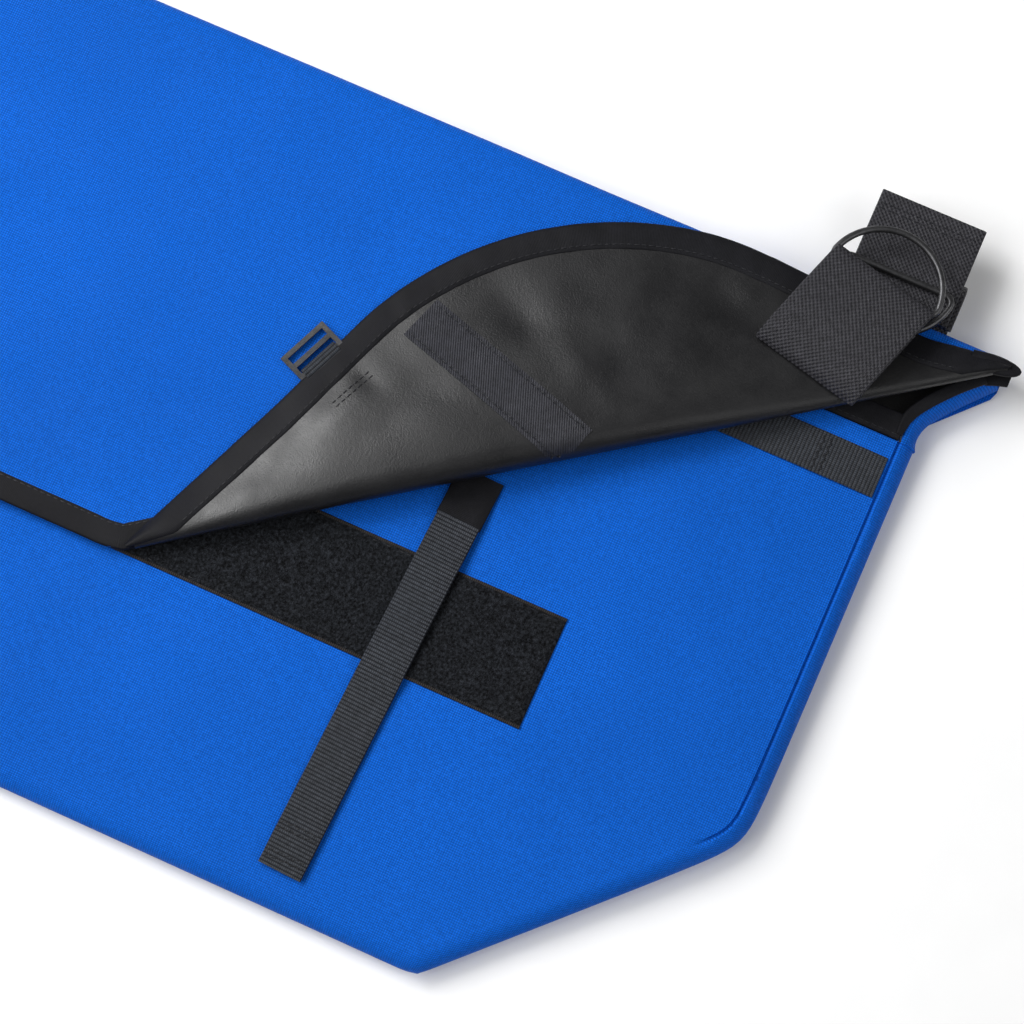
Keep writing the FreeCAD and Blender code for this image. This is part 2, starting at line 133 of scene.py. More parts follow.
def mesh_object(name, points, faces, uv, material):
    mesh = bpy.data.meshes.new(name)
    mesh.from_pydata((np.asarray(points) / 1000).tolist(), [], faces)
    corners = np.zeros(len(mesh.loops), int)
    mesh.loops.foreach_get("vertex_index", corners)
    layer = mesh.uv_layers.new(name="cloth")
    layer.data.foreach_set("uv", np.asarray(uv)[corners].astype(np.float32).ravel())
    mesh.polygons.foreach_set("use_smooth", [True] * len(mesh.polygons))
    mesh.materials.append(material)
    mesh.update()
    mesh.set_sharp_from_angle(angle=SHARP)
    obj = bpy.data.objects.new(name, mesh)
    bpy.context.scene.collection.objects.link(obj)
    return obj


def grid_faces(rows, columns, flip=False):
    faces = []
    for r in range(rows - 1):
        for c in range(columns - 1):
            a = r * columns + c
            face = (a, a + 1, a + columns + 1, a + columns)
            faces.append(face[::-1] if flip else face)
    return faces


def thicken(obj, thickness, side):
    """Give a surface a cloth's thickness: side 1 is along its normals."""
    modifier = obj.modifiers.new("thickness", "SOLIDIFY")
    modifier.thickness = thickness / 1000
    modifier.offset = side
    graph = bpy.context.evaluated_depsgraph_get()
    mesh = bpy.data.meshes.new_from_object(obj.evaluated_get(graph))
    obj.modifiers.clear()
    mesh.set_sharp_from_angle(angle=SHARP)
    obj.data = mesh
    return obj


def cloth(name, points, uv, thickness, side, material, flip=False):
    """A thin closed sheet on a grid of points (rows, columns, 3)."""
    rows, columns = points.shape[:2]
    faces = grid_faces(rows, columns, flip)
    obj = mesh_object(name, points.reshape(-1, 3), faces, uv.reshape(-1, 2), material)
    return thicken(obj, thickness, side)


def plan_uv(points):
    """Weave coordinates in millimetres: across, and the length walked down."""
    steps = np.linalg.norm(np.diff(points[:, :, 1:], axis=0), axis=2).mean(axis=1)
    walked = np.concatenate(([0], np.cumsum(steps)))
    uv = np.empty(points.shape[:2] + (2,))
    uv[..., 0] = points[..., 0]
    uv[..., 1] = walked[:, None]
    return uv


def curve_through(points, step):
    """A smooth line through points, with a point about every step."""
    points = np.asarray(points, float)
    ends = np.vstack((2 * points[0] - points[1], points, 2 * points[-1] - points[-2]))
    line = []
    for p0, p1, p2, p3 in zip(ends, ends[1:], ends[2:], ends[3:]):
        count = max(1, int(np.linalg.norm(p2 - p1) / step))
        for t in np.arange(count) / count:
            line.append(0.5 * (2 * p1 + (p2 - p0) * t + (2 * p0 - 5 * p1 + 4 * p2 - p3) * t ** 2
                               + (3 * p1 - p0 - 3 * p2 + p3) * t ** 3))
    return np.array(line + [points[-1]])


def walked_length(line):
    return np.concatenate(([0], np.cumsum(np.linalg.norm(np.diff(line, axis=0), axis=1))))


def band_section(width, thick, shift=0.0):
    """Closed outline of a flat band: (sideways, upward), edges rounded."""
    half, r = width / 2, thick / 2
    across = np.linspace(r - half, half - r, max(5, int(width / 3)))
    bend = np.linspace(0, math.pi, 5)[1:-1]
    top = [(x, r) for x in across]
    right = [(half - r + r * math.sin(a), r * math.cos(a)) for a in bend]
    left = [(r - half - r * math.sin(a), -r * math.cos(a)) for a in bend]
    section = top + right + [(x, -y) for x, y in reversed(top)] + left
    return np.array(section) + (shift, 0)


def sweep(name, line, side, up, section, material, taper=None):
    """Carry a closed section along a line. taper scales its width."""
    count, around = len(line), len(section)
    side = np.broadcast_to(side, line.shape)
    up = np.broadcast_to(up, line.shape)
    width = np.ones(count) if taper is None else taper
    points = (line[:, None] + side[:, None] * section[None, :, :1] * width[:, None, None]
              + up[:, None] * section[None, :, 1:])
    uv = np.empty((count, around, 2))
    uv[..., 0] = walked_length(line)[:, None]
    uv[..., 1] = section[None, :, 0]
    faces = []
    for r in range(count - 1):
        for c in range(around):
            a, b = r * around + c, r * around + (c + 1) % around
            faces.append((a, b, b + around, a + around))
    faces.append(tuple(range(around - 1, -1, -1)))
    faces.append(tuple(range((count - 1) * around, count * around)))
    return mesh_object(name, points.reshape(-1, 3), faces, uv.reshape(-1, 2), material)


def strap(name, points, width, thick, side, material, step=2.0):
    """Flat webbing along a line that bends only up and down across side."""
    line = curve_through(points, step)
    up = np.cross(side, unit(np.gradient(line, axis=0)))
    return sweep(name, line, side, up, band_section(width, thick), material)


def thread(line, up, pitch=3.2, length=2.3, radius=0.26):
    """Points and faces of the stitches along a line."""
    walked = walked_length(line)
    points, faces = [], []
    for start in np.arange(0, walked[-1] - length, pitch):
        ends = [np.array([np.interp(start + d, walked, line[:, i]) for i in range(3)])
                for d in (0, length)]
        over = np.array([np.interp(start, walked, up[:, i]) for i in range(3)])
        along = (ends[1] - ends[0]) / np.linalg.norm(ends[1] - ends[0])
        beside = np.cross(over, along)
        base = len(points)
        for share, size in ((0, 0.4), (0.25, 1), (0.75, 1), (1, 0.4)):
            middle = ends[0] + (ends[1] - ends[0]) * share
            for a in np.arange(6) * math.pi / 3:
                points.append(middle + radius * size * (math.cos(a) * beside + math.sin(a) * over))
        for ring in range(3):
            for k in range(6):
                a, b = base + ring * 6 + k, base + ring * 6 + (k + 1) % 6
                faces.append((a, b, b + 6, a + 6))
        faces.append(tuple(base + k for k in range(5, -1, -1)))
        faces.append(tuple(base + 18 + k for k in range(6)))
    return points, faces


def stitches(name, lines, material, **sizes):
    """One mesh of every stitch along (line, up) pairs."""
    points, faces = [], []
    for line, up in lines:
        more, sides = thread(line, np.broadcast_to(up, line.shape), **sizes)
        faces += [tuple(i + len(points) for i in side) for side in sides]
        points += more
    return mesh_object(name, points, faces, np.zeros((len(points), 2)), material)


def straight(a, b, step=2.0):
    a, b = np.asarray(a, float), np.asarray(b, float)
    count = max(2, int(np.linalg.norm(b - a) / step))
    return a + (b - a) * np.linspace(0, 1, count)[:, None]


def zigzag(a, b, width, side, pitch=1.7):
    """A close zigzag line from a to b."""
    a, b = np.asarray(a, float), np.asarray(b, float)
    count = int(np.linalg.norm(b - a) / pitch)
    swing = np.where(np.arange(count) % 2, width / 2, -width / 2)[:, None] * np.asarray(side)
    return a + (b - a) * np.linspace(0, 1, count)[:, None] + swing


# ----------------------------------------------------------------- materials
class Finish:
    """A node material for cloth whose pattern is in its UV millimetres."""

    def __init__(self, name, roughness, specular=0.4, metallic=0.0, sheen=0.0):
        self.material = bpy.data.materials.new(name)
        self.material.use_nodes = True
        self.tree = self.material.node_tree
        self.shader = self.tree.nodes["Principled BSDF"]
        self.shader.inputs["Specular IOR Level"].default_value = specular
        self.shader.inputs["Metallic"].default_value = metallic
        self.shader.inputs["Sheen Weight"].default_value = sheen
        self.shader.inputs["Sheen Roughness"].default_value = 0.5
        self.roughness = roughness
        uv = self.node("ShaderNodeUVMap")
        uv.uv_map = "cloth"
        split = self.node("ShaderNodeSeparateXYZ")
        self.link(uv.outputs["UV"], split.inputs["Vector"])
        self.u, self.v = split.outputs["X"], split.outputs["Y"]
        self.place = self.node("ShaderNodeTexCoord").outputs["Object"]

    def node(self, kind):
        return self.tree.nodes.new(kind)

    def link(self, source, target):
        self.tree.links.new(source, target)

    def math(self, operation, *values):
        node = self.node("ShaderNodeMath")
        node.operation = operation
        for socket, value in zip(node.inputs, values):
            if isinstance(value, (int, float)):
                socket.default_value = value
            else:
                self.link(value, socket)
        return node.outputs[0]

    def blotches(self, per_metre, detail=3.0, low=0.0, high=1.0):
        """Noise over the object, spread between low and high."""
        texture = self.node("ShaderNodeTexNoise")
        texture.inputs["Scale"].default_value = per_metre
        texture.inputs["Detail"].default_value = detail
        self.link(self.place, texture.inputs["Vector"])
        spread = self.node("ShaderNodeMapRange")
        spread.inputs["From Min"].default_value = 0.3
        spread.inputs["From Max"].default_value = 0.7
        spread.inputs["To Min"].default_value = low
        spread.inputs["To Max"].default_value = high
        self.link(texture.outputs["Fac"], spread.inputs["Value"])
        return spread.outputs["Result"]

    def wave(self, coordinate, pitch, shift=0.0):
        """Sine that changes sign every pitch millimetres."""
        turned = self.math("MULTIPLY_ADD", coordinate, math.pi / pitch, shift)
        return self.math("SINE", turned)

    def weave(self, pitch_u, pitch_v):
        """Plain weave: threads passing over and under in a chequerboard."""
        a, b = self.wave(self.u, pitch_u), self.wave(self.v, pitch_v)
        over = self.math("GREATER_THAN", self.math("MULTIPLY", a, b), 0.0)
        flat_a, flat_b = self.math("ABSOLUTE", a), self.math("ABSOLUTE", b)
        warp = self.math("MULTIPLY", self.math("POWER", flat_a, 0.6),
                         self.math("MULTIPLY_ADD", flat_b, 0.5, 0.5))
        weft = self.math("MULTIPLY", self.math("POWER", flat_b, 0.6),
                         self.math("MULTIPLY_ADD", flat_a, 0.5, 0.5))
        return self.mix(over, warp, weft)

    def mix(self, share, a, b):
        """b where share is 0, a where it is 1."""
        return self.math("ADD", self.math("MULTIPLY", a, share),
                         self.math("MULTIPLY", b, self.math("SUBTRACT", 1.0, share)))

    def finish(self, height, depth, dark, light, shade=None, rough_spread=0.08):
        """Colour from height between dark and light, and relief of depth mm. Where height is a
        weave, rib or bump relief, the ramp paints shade into its low parts and highlight onto its
        high parts; where it is noise, the ramp is random tone.
        """
        ramp = self.node("ShaderNodeMix")
        ramp.data_type = "RGBA"
        ramp.inputs["A"].default_value = (*dark, 1)
        ramp.inputs["B"].default_value = (*light, 1)
        self.link(height, ramp.inputs["Factor"])
        colour = ramp.outputs["Result"]
        if shade is not None:
            shaded = self.node("ShaderNodeMix")
            shaded.data_type = "RGBA"
            shaded.blend_type = "MULTIPLY"
            shaded.inputs["Factor"].default_value = 1.0
            self.link(colour, shaded.inputs["A"])
            self.link(shade, shaded.inputs["B"])
            colour = shaded.outputs["Result"]
        self.link(colour, self.shader.inputs["Base Color"])
        rough = self.blotches(60, 4.0, self.roughness - rough_spread, self.roughness + rough_spread)
        self.link(rough, self.shader.inputs["Roughness"])
        bump = self.node("ShaderNodeBump")
        bump.inputs["Distance"].default_value = depth / 1000
        bump.inputs["Strength"].default_value = 1.0
        self.link(height, bump.inputs["Height"])
        self.link(bump.outputs["Normal"], self.shader.inputs["Normal"])
        return self.material


def blue_nylon():
    finish = Finish("blue nylon", 0.6, specular=0.06)
    shade = finish.math("MULTIPLY", finish.blotches(9, 2.0, 0.93, 1.07),
                        finish.blotches(700, 2.0, 0.88, 1.12))
    # The weave's height sets the colour: painted shade in the gaps between threads, painted
    # highlight on their crowns.
    return finish.finish(finish.weave(1.05, 1.05), 0.16,
                         (0.001, 0.040, 0.24), (0.006, 0.145, 0.72), shade)


def black_vinyl():
    finish = Finish("black vinyl", 0.42, specular=0.5)
    grain = finish.mix(0.65, finish.blotches(1500, 2.0), finish.blotches(520, 4.0))
    return finish.finish(grain, 0.07, (0.003, 0.003, 0.004), (0.011, 0.011, 0.012),
                         finish.blotches(25, 3.0, 0.8, 1.2))


def edge_binding():
    finish = Finish("edge binding", 0.6, specular=0.15)
    rib = finish.math("ABSOLUTE", finish.wave(finish.u, 0.7))
    weave = finish.mix(0.6, rib, finish.blotches(900, 2.0))
    # The ribs' height sets most of the colour: painted shade between the ribs, painted highlight on
    # them; the noise adds random tone.
    return finish.finish(weave, 0.08, (0.003, 0.003, 0.004), (0.010, 0.010, 0.013),
                         finish.blotches(120, 3.0, 0.75, 1.2))


def black_webbing():
    """Narrow ribbed tape: ribs straight across its length."""
    finish = Finish("black ribbed tape", 0.55, specular=0.25)
    rib = finish.math("POWER", finish.math("ABSOLUTE", finish.wave(finish.u, 1.7)), 0.7)
    twill = finish.math("ABSOLUTE", finish.wave(finish.v, 0.9))
    height = finish.math("MULTIPLY", rib, finish.math("MULTIPLY_ADD", twill, 0.55, 0.45))
    # The ribs' height sets the colour: painted shade in the grooves, painted highlight on the ribs.
    return finish.finish(height, 0.4, (0.003, 0.003, 0.004), (0.046, 0.052, 0.064),
                         finish.blotches(500, 2.0, 0.75, 1.25))


def heavy_webbing():
    """Wide strap: raised bumps in alternate rows."""
    finish = Finish("black heavy webbing", 0.5, specular=0.25)
    a = finish.wave(finish.u, 1.15)
    b = finish.wave(finish.v, 1.05)
    bump = finish.math("MULTIPLY_ADD", finish.math("MULTIPLY", a, b), 0.5, 0.5)
    fine = finish.math("ABSOLUTE", finish.wave(finish.v, 0.62))
    height = finish.math("MULTIPLY", finish.math("POWER", bump, 0.8),
                         finish.math("MULTIPLY_ADD", fine, 0.35, 0.65))
    # The bumps' height sets the colour: painted shade between the bumps, painted highlight on their
    # tops.
    return finish.finish(height, 0.5, (0.004, 0.004, 0.006), (0.056, 0.055, 0.064),
                         finish.blotches(400, 2.0, 0.75, 1.25))


def black_pile():
    finish = Finish("black pile", 0.85, specular=0.08, sheen=0.03)
    fuzz = finish.mix(0.5, finish.blotches(1500, 4.0), finish.blotches(560, 3.0))
    return finish.finish(fuzz, 0.8, (0.001, 0.001, 0.001), (0.024, 0.027, 0.033),
                         finish.blotches(800, 3.0, 0.15, 1.7))


def woven_selvage():
    finish = Finish("brown-black selvage", 0.7, specular=0.15)
    rib = finish.math("ABSOLUTE", finish.wave(finish.u, 0.9))
    # The ribs' height sets the colour: painted shade between the ribs, painted highlight on them,
    # over the tape's brownish tone.
    return finish.finish(rib, 0.15, (0.004, 0.004, 0.004), (0.034, 0.030, 0.029),
                         finish.blotches(300, 2.0, 0.7, 1.2))


def hook_tape():
    finish = Finish("black hook tape", 0.55, specular=0.25)
    diagonal = finish.math("ADD", finish.u, finish.math("MULTIPLY", finish.v, 0.8))
    rows = finish.math("ABSOLUTE", finish.wave(diagonal, 1.3))
    hooks = finish.mix(0.65, rows, finish.blotches(1200, 2.0))
    # The hook rows' height sets most of the colour: painted shade between the rows, painted
    # highlight on them; the noise adds random tone.
    return finish.finish(hooks, 0.3, (0.006, 0.006, 0.008), (0.036, 0.037, 0.047),
                         finish.blotches(300, 2.0, 0.75, 1.2))


def black_thread():
    finish = Finish("black thread", 0.45, specular=0.4)
    return finish.finish(finish.blotches(2500, 2.0), 0.05,
                         (0.004, 0.004, 0.006), (0.018, 0.019, 0.024))


def gunmetal():
    finish = Finish("gunmetal", 0.4, specular=0.5, metallic=0.9)
    wear = finish.mix(0.5, finish.blotches(1500, 3.0), finish.blotches(200, 4.0))
    return finish.finish(wear, 0.02, (0.05, 0.05, 0.053), (0.12, 0.12, 0.125))


def white_paper():
    finish = Finish("white paper", 0.9, specular=0.1)
    return finish.finish(finish.blotches(40, 2.0), 0.01,
                         (0.98, 0.98, 0.98), (1.0, 1.0, 1.0))


BLUE = blue_nylon()
LINING = black_vinyl()
EDGE = edge_binding()
RIBBED = black_webbing()
HEAVY = heavy_webbing()
PILE = black_pile()
HOOKS = hook_tape()
SELVAGE = woven_selvage()
THREAD = black_thread()
METAL = gunmetal()


def settle(obj, body, slot, *nodes):
    """The piece rides on a body, in place of these CAD nodes."""
    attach(obj, body)
    if nodes:
        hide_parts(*nodes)
    return obj


# ------------------------------------------------------------------ bag body
def front_z(x, y):
    """Top of the front panel: almost flat, lower towards the bottom fold."""
    x, y = np.asarray(x, float), np.asarray(y, float)
    low = 2.4 * smooth((-100 - y) / 65) + 0.5 * smooth((np.abs(x) - 235) / 36)
    soft = ripple(x, y, 75, 0.9, 3.1) + ripple(x + 0.6 * y, 0.3 * y, 28, 0.35, 7.7)
    near_mouth = 1 - smooth((y - 90) / 30)
    return FRONT_TOP - low + soft * near_mouth


def front_half_width(y):
    """Half the front's width inside its rounded edge, at height y."""
    chamfer = BOTTOM_HALF + (y - BOTTOM) - EDGE_BAND * math.sqrt(2)
    gap = SEAM - chamfer
    return SEAM - 0.5 * (gap + np.sqrt(gap ** 2 + 40))


SEAM_SECTION = np.array((
    (0.0, -0.3), (0.5, -1.5), (1.2, -1.5), (2.2, -0.5), (4.0, -0.9), (6.0, -2.5), (7.6, -4.6),
    (8.4, -7.0), (8.2, -9.4), (7.0, -11.4), (5.0, -12.6), (2.4, -12.9)))
FOLD_SECTION = np.array((
    (0.0, 0.0), (0.6, -0.02), (1.4, -0.1), (2.4, -0.3), (4.0, -0.9), (6.0, -2.2), (7.6, -4.2),
    (8.4, -6.8), (8.2, -9.2), (7.0, -11.2), (5.0, -12.5), (2.4, -12.9)))


def make_front():
    """Front panel, gussets and lower folds: one shell, seamed at the sides."""
    rows_y = np.concatenate((np.linspace(MOUTH_LOW - 0.3, -40, 52),
                             np.linspace(-43, BOTTOM + EDGE_BAND + 2.5, 46)))
    share = np.linspace(-1, 1, 171)
    half = front_half_width(rows_y)
    x = half[:, None] * share[None, :]
    y = np.broadcast_to(rows_y[:, None], x.shape)
    inner = np.stack((x, y, front_z(x, y)), axis=-1)
    rows, columns = x.shape
    index = np.arange(rows * columns).reshape(rows, columns)
    border = np.concatenate((index[:, -1], index[-1, -2:0:-1], index[::-1, 0]))
    flat = inner.reshape(-1, 3)
    edge = flat[border]
    tangent = np.gradient(edge[:, :2], axis=0)
    for _ in range(3):
        tangent[1:-1] = (tangent[:-2] + 2 * tangent[1:-1] + tangent[2:]) / 4
    tangent = unit(tangent)
    outward = np.stack((-tangent[:, 1], tangent[:, 0], np.zeros(len(edge))), axis=1)
    seamed = smooth((edge[:, 1] - LOWER_CORNER_Y + 10) / 12)[:, None]
    fall = (edge[:, 2] - BACK_Z)[:, None] / 13.0
    points, faces = [flat], [f[::-1] for f in grid_faces(rows, columns)]
    uv = [flat[:, :2]]
    previous = border
    total = len(flat)
    for seam, fold in zip(SEAM_SECTION[1:], FOLD_SECTION[1:]):
        reach = seam[0] * seamed + fold[0] * (1 - seamed)
        drop = (seam[1] * seamed + fold[1] * (1 - seamed)) * fall
        ring = edge + outward * reach
        ring[:, 2:] = edge[:, 2:] + drop
        here = np.arange(total, total + len(ring))
        total += len(ring)
        points.append(ring)
        uv.append(edge[:, :2] + outward[:, :2] * (reach - drop))
        for i in range(len(ring) - 1):
            faces.append((previous[i], previous[i + 1], here[i + 1], here[i]))
        previous = here
    faces = [tuple(int(i) for i in f) for f in faces]
    shell = mesh_object("front_shell", np.concatenate(points), faces, np.concatenate(uv), BLUE)
    thicken(shell, CLOTH, -1)
    settle(shell, "bag", "blue_nylon", "front_panel", "bottom_gusset",
           "side_gusset_right", "side_gusset_left")


def back_half_width(y):
    """Half the back's width: just inside the front's edge, then out to the tips."""
    side = front_half_width(y) + 6
    wing = SEAM + 6 + (y - 134) * (TIP - 1 - SEAM - 6) / 28
    return np.where(y > 134, np.minimum(wing, TIP - 1), side)


def panel(name, rows_y, half, z, thickness, material):
    """A flat sheet at height z, or at z(x, y)."""
    share = np.linspace(-1, 1, 91)
    x = half[:, None] * share[None, :]
    y = np.broadcast_to(rows_y[:, None], x.shape)
    height = z(x, y) if callable(z) else z + ripple(x, y, 60, 0.25, 1.7)
    points = np.stack((x, y, height), axis=-1)
    return cloth(name, points, points[..., :2].copy(), thickness, 1, material)


def make_back_and_linings():
    rows = np.linspace(BOTTOM + 3.5, HINGE_Y, 90)
    back = panel("back_cloth", rows, back_half_width(rows), BACK_Z + 0.1, CLOTH, BLUE)
    settle(back, "bag", "blue_nylon", "back_panel")
    inside = np.linspace(BOTTOM + 14, HINGE_Y, 90)
    half = np.minimum(front_half_width(inside) - 9, SEAM - 1)
    half = half + np.interp(inside, (MOUTH_LOW, 130, 137, 150, HINGE_Y), (0, 2, 6, 15, 27))
    lining = panel("back_lining", inside, half, BACK_Z + 1.5, VINYL, LINING)
    settle(lining, "bag", "black_vinyl", "back_liner")
    inside = np.linspace(BOTTOM + 14, MOUTH_LOW + 6, 60)
    half = np.minimum(front_half_width(inside) - 9, SEAM - 2)
    lining = panel("front_lining", inside, half, lambda x, y: front_z(x, y) - CLOTH - 1.0,
                   VINYL, LINING)
    settle(lining, "bag", "black_vinyl", "front_liner")


def resampled(line, steps):
    """A line's (x, y) at even steps from 0 to 1 along its points."""
    knots = np.linspace(0, 1, len(line))
    return np.stack([np.interp(steps, knots, line[:, i]) for i in range(2)], axis=1)


def make_wings():
    """The side gussets' folded upper ends, out to the bag's two tips."""
    inner = curve_through([(SEAM, MOUTH_LOW - 0.3, 0), (270.4, 130, 0), (274, 139.5, 0),
                           (285, 153.5, 0), (298.5, 166.5, 0)], 2.5)
    outer = curve_through([(SEAM + 8.4, MOUTH_LOW - 0.3, 0), (277.6, 128, 0), (279.6, 137, 0),
                           (289, 150, 0), (TIP - 2.5, 164.5, 0)], 2.5)
    steps = np.linspace(0, 1, 24)
    inner = resampled(inner, steps)
    outer = resampled(outer, steps)
    base = float(front_z(SEAM, MOUTH_LOW - 0.3))
    outward = unit(outer - inner)
    points = np.zeros((len(steps), len(SEAM_SECTION), 3))
    for row, (a, b) in enumerate(zip(inner, outer)):
        rise = 2.2 * smooth(steps[row] * 1.2)
        for column, (reach, drop) in enumerate(SEAM_SECTION):
            across = reach / 8.4
            points[row, column, :2] = a + (b - a) * across
            points[row, column, 2] = base + rise * (1 - across) + drop
    inside = points[:, 2:].copy()
    inside[..., :2] -= outward[:, None] * 1.4
    lines = np.stack((inner[:, 0], inner[:, 1], np.full(len(inner), base + 0.6)), axis=1)
    lines[:, 2] += 2.0 * smooth(steps * 1.2)
    lines = curve_through(lines[1::4], 2.0)
    for name, sign in (("right", 1), ("left", -1)):
        turned = points * (sign, 1, 1)
        uv = turned[..., :2].copy()
        uv[..., 0] -= sign * turned[..., 2]
        wing = cloth("wing_cloth_" + name, turned, uv, CLOTH, -1, BLUE, flip=sign > 0)
        settle(wing, "bag", "blue_nylon")
        turned = inside * (sign, 1, 1)
        lining = cloth("wing_lining_" + name, turned, plan_uv(turned), VINYL, -1, LINING,
                       flip=sign > 0)
        settle(lining, "bag", "black_vinyl")
        line = lines * (sign, 1, 1)
        tangent = unit(np.gradient(line, axis=0))
        side = unit(np.cross(tangent, UP))
        taper = np.interp(np.linspace(0, 1, len(line)), (0, 0.2, 0.5, 1), (0.5, 0.9, 1, 1))
        edge = sweep("wing_edge_" + name, line, side, np.cross(side, tangent),
                     band_section(6.0, 1.8, shift=-sign * 1.0), EDGE, taper)
        settle(edge, "bag", "edge_binding", "wing_binding_" + name)


def make_mouth():
    x = np.linspace(-SEAM, SEAM, 180)
    y = np.full(len(x), (MOUTH_LOW + MOUTH_HIGH) / 2)
    z = FRONT_TOP - 0.5 + ripple(x, y, 40, 0.5, 9.2)
    line = np.stack((x, y, z), axis=1)
    edge = sweep("mouth_edge", line, Y_AXIS, UP, band_section(BAND, BOUND), EDGE)
    settle(edge, "bag", "edge_binding", "mouth_binding")
    row = line + (0, 2 - BAND / 2, BOUND / 2)
    seam = stitches("mouth_stitches", [(row, UP)], THREAD)
    settle(seam, "bag", "edge_binding")


# ------------------------------------------------------------- trim on front
def make_loop_strip():
    low, high = node_box("loop_strip")
    x = np.linspace(low[0], high[0], 250)
    y = np.linspace(low[1], high[1], 44)
    gx, gy = np.meshgrid(x, y)
    edge = np.minimum(np.minimum(gx - low[0], high[0] - gx), np.minimum(gy - low[1], high[1] - gy))
    fuzz = ripple(gx, gy, 2.2, 0.5, 4.4) + ripple(gx, gy, 9, 0.35, 5.5)
    height = 0.5 + (1.15 + fuzz) * smooth(edge / 2.2)
    points = np.stack((gx, gy, front_z(gx, gy) + height), axis=-1)
    strip = cloth("loop_pile", points, points[..., :2].copy(), 1.2, -1, PILE)
    settle(strip, "bag", "black_pile", "loop_strip")
    for name, y in (("low", low[1]), ("high", high[1])):
        line = straight((low[0], y, 0), (high[0], y, 0), 6)
        line[:, 2] = front_z(line[:, 0], line[:, 1]) + 0.55
        selvage = sweep("loop_selvage_" + name, line, Y_AXIS, UP, band_section(1.5, 0.9), SELVAGE)
        settle(selvage, "bag", "black_pile")
    ends = [(low[0] + 1.6, low[1] + 1.6), (high[0] - 1.6, low[1] + 1.6),
            (high[0] - 1.6, high[1] - 1.6), (low[0] + 1.6, high[1] - 1.6)]
    rows = []
    for a, b in zip(ends, ends[1:] + ends[:1]):
        row = straight((*a, 0), (*b, 0))
        row[:, 2] = front_z(row[:, 0], row[:, 1]) + 1.0
        rows.append((row, UP))
    settle(stitches("loop_pile_stitches", rows, THREAD, radius=0.2), "bag", "black_pile")


def make_side_tapes():
    for name, sign in (("right", 1), ("left", -1)):
        low, high = node_box("side_tape_" + name)
        y = (low[1] + high[1]) / 2
        xs = np.linspace(low[0], high[0] - 1, 7)
        z = front_z(xs, np.full(7, y)) + TAPE / 2 + 0.25
        z[-1 if sign > 0 else 0] -= 0.6
        tape = strap("side_webbing_" + name, np.stack((xs, np.full(7, y), z), axis=1),
                     high[1] - low[1], TAPE, Y_AXIS, RIBBED)
        settle(tape, "bag", "black_webbing", "side_tape_" + name)
        at = sign * 241.0
        height = float(front_z(at, y)) + TAPE + 0.4
        rows = [(zigzag((at + d, low[1] + 1, height), (at + d, high[1] - 1, height),
                        2.4, X_AXIS), UP) for d in (0, 3.4)]
        seam = stitches("side_webbing_stitches_" + name, rows, THREAD, pitch=2.0, length=1.8)
        settle(seam, "bag", "black_webbing")


STRAP_PROFILE = (              # (Y, height of the strap's middle)
    (22, 17.6), (14, 17.7), (4, 17.7), (-3, 18.1), (-6, 18.8), (-8, 19.3), (-11, 18.8),
    (-30, 18.6), (-34, 18.6), (-36, 19.6), (-38, 18.6), (-40, 19.3), (-43, 18.6), (-52, 18.6),
    (-58, 18.0), (-66, 16.8), (-90, 16.5), (-120, 16.0), (-140, 15.3), (-153, 14.9))
STRAP_LEAN = 0.045


def strap_x(x, y):
    """A closure strap hangs a little towards the bag's middle."""
    return x + math.copysign(1.0, x) * (1.6 + STRAP_LEAN * (y - 14))


def strap_height(y):
    ys, zs = np.array(STRAP_PROFILE, float)[::-1].T
    return np.interp(y, ys, zs)


def strap_part(name, x, y_high, y_low):
    """A stretch of a closure strap between two heights on the front."""
    line = np.linspace(y_high, y_low, max(4, int((y_high - y_low) / 1.5)))
    points = np.stack((strap_x(x, line), line, strap_height(line)), axis=1)
    side = np.array((-1.0, math.copysign(STRAP_LEAN, x), 0.0))
    return strap(name, points, 20.0, TAPE, side / np.linalg.norm(side), RIBBED, step=1.5)


def strap_end_rows(x):
    rows = []
    for y in (-136.0, -148.5):
        z = float(strap_height(y)) + TAPE / 2 + 0.1
        for d in (0, 2.6):
            middle = strap_x(x, y)
            rows.append((zigzag((middle - 9, y + d, z), (middle + 9, y + d, z), 1.6, Y_AXIS), UP))
    return rows


def make_closure_straps():
    right = node_box("closure_strap_right")
    left = node_box("closure_strap_left")
    x = (right[0][0] + right[1][0]) / 2
    whole = strap_part("right_strap_webbing", x, right[1][1], right[0][1])
    settle(whole, "right_strap", "black_webbing", "closure_strap_right")
    rows = stitches("right_strap_stitches", strap_end_rows(x), THREAD, pitch=1.9, length=1.7)
    settle(rows, "right_strap", "black_webbing")
    upper = strap_part("left_strap_webbing", -x, left[1][1], left[0][1])
    settle(upper, "bag", "black_webbing", "closure_strap_left")
    lower = strap_part("left_strap_end_webbing", -x, left[0][1] - 0.2, right[0][1])
    settle(lower, "left_strap", "black_webbing", "closure_strap_left_end")
    rows = stitches("left_strap_stitches", strap_end_rows(-x), THREAD, pitch=1.9, length=1.7)
    settle(rows, "left_strap", "black_webbing")
    for name, sign in (("right", 1), ("left", -1)):
        low, high = node_box("closure_tab_" + name)
        side = np.array((-1.0, sign * STRAP_LEAN, 0.0))
        points = []
        for y, lift in ((high[1] + 4, 0.9), (high[1] - 4, 1.1), (22, 1.6), (low[1] - 2, 2.4)):
            middle = strap_x(sign * x, y)
            points.append((middle, y, float(front_z(middle, y)) + lift))
        tab = strap("closure_patch_" + name, points, 20.8, TAPE, side, EDGE)
        settle(tab, "bag", "edge_binding", "closure_tab_" + name)


